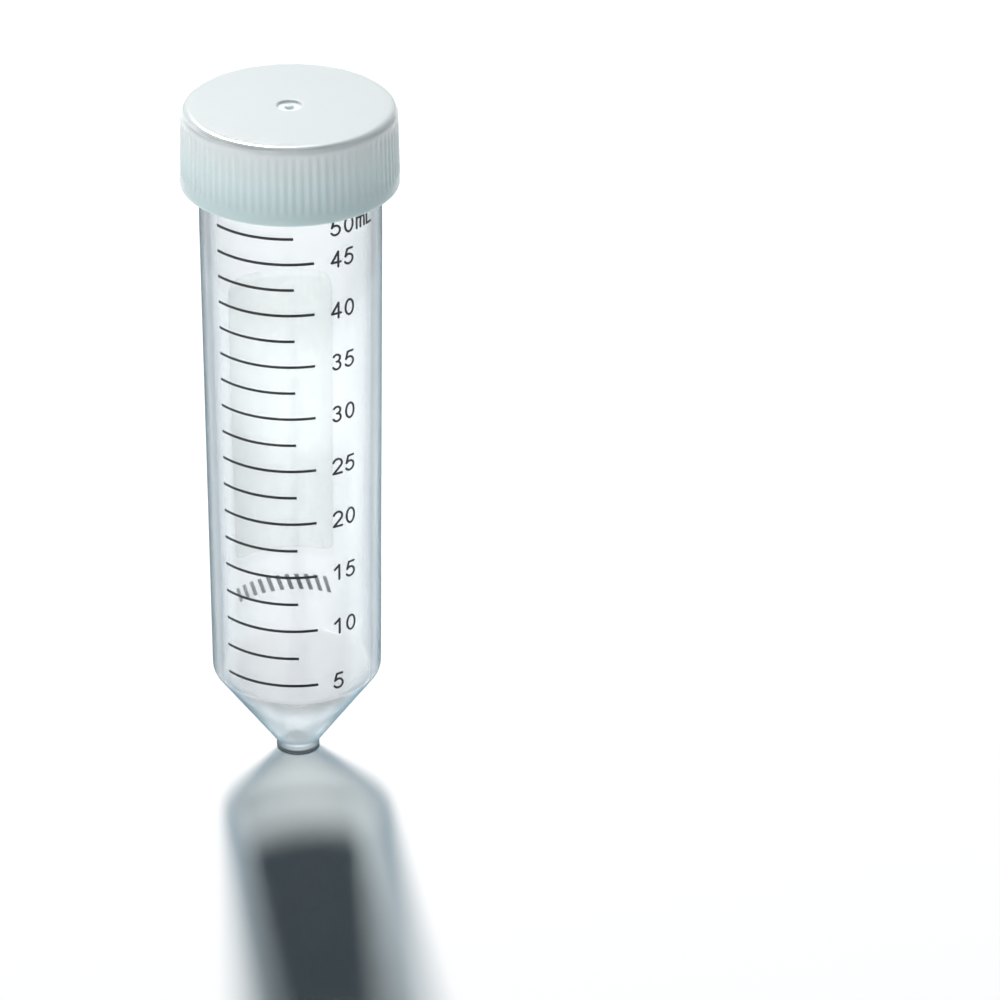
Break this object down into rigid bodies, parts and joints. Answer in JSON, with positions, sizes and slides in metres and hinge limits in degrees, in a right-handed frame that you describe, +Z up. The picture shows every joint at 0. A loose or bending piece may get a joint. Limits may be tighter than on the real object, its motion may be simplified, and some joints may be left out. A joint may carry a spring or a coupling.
{
  "type": "conical centrifuge tube",
  "caption": "Clear graduated tube with a conical bottom, small flat foot and ribbed screw cap, for holding and spinning liquid samples.",
  "frame": {"origin": "centre of the underside of the small flat foot that the tube stands on", "axes": "+Z up the tube's axis to the cap, -Y towards the printed scale, +X to the right of the scale's lines, on the numerals' side"},
  "size_m": [0.0346, 0.0346, 0.115],
  "materials": {
    "clear_polypropylene": "clear, slightly hazy moulded polypropylene",
    "natural_polyethylene": "natural translucent polyethylene, satin",
    "seal_lip": "natural translucent polyethylene, smooth",
    "black_ink": "printed black ink",
    "white_ink": "printed white ink, chalky so that a pencil or pen takes",
    "grey_green_ink": "printed dark grey-green ink"
  },
  "bodies": {
    "tube": {"tube_body": "clear_polypropylene", "major_graduations": "black_ink", "minor_graduations": "black_ink", "scale_numerals": "black_ink", "writing_patch": "white_ink", "hatched_band": "grey_green_ink"},
    "seal": {"cap_seal_ring": "seal_lip"},
    "cap": {"screw_cap": "natural_polyethylene"}
  },
  "joints": [
    {"name": "cap_lift", "type": "slide", "parent": "tube", "child": "seal", "axis": [0, 0, 1], "range_m": [0, 0.012]},
    {"name": "cap_turn", "type": "hinge", "parent": "seal", "child": "cap", "pos_m": [0, 0, 0.1085], "axis": [0, 0, 1], "range_deg": [0, 1080]}
  ],
  "couplings": [
    {"joint": "cap_lift", "follows": "cap_turn", "m_per_rad": 0.00063662}
  ]
}
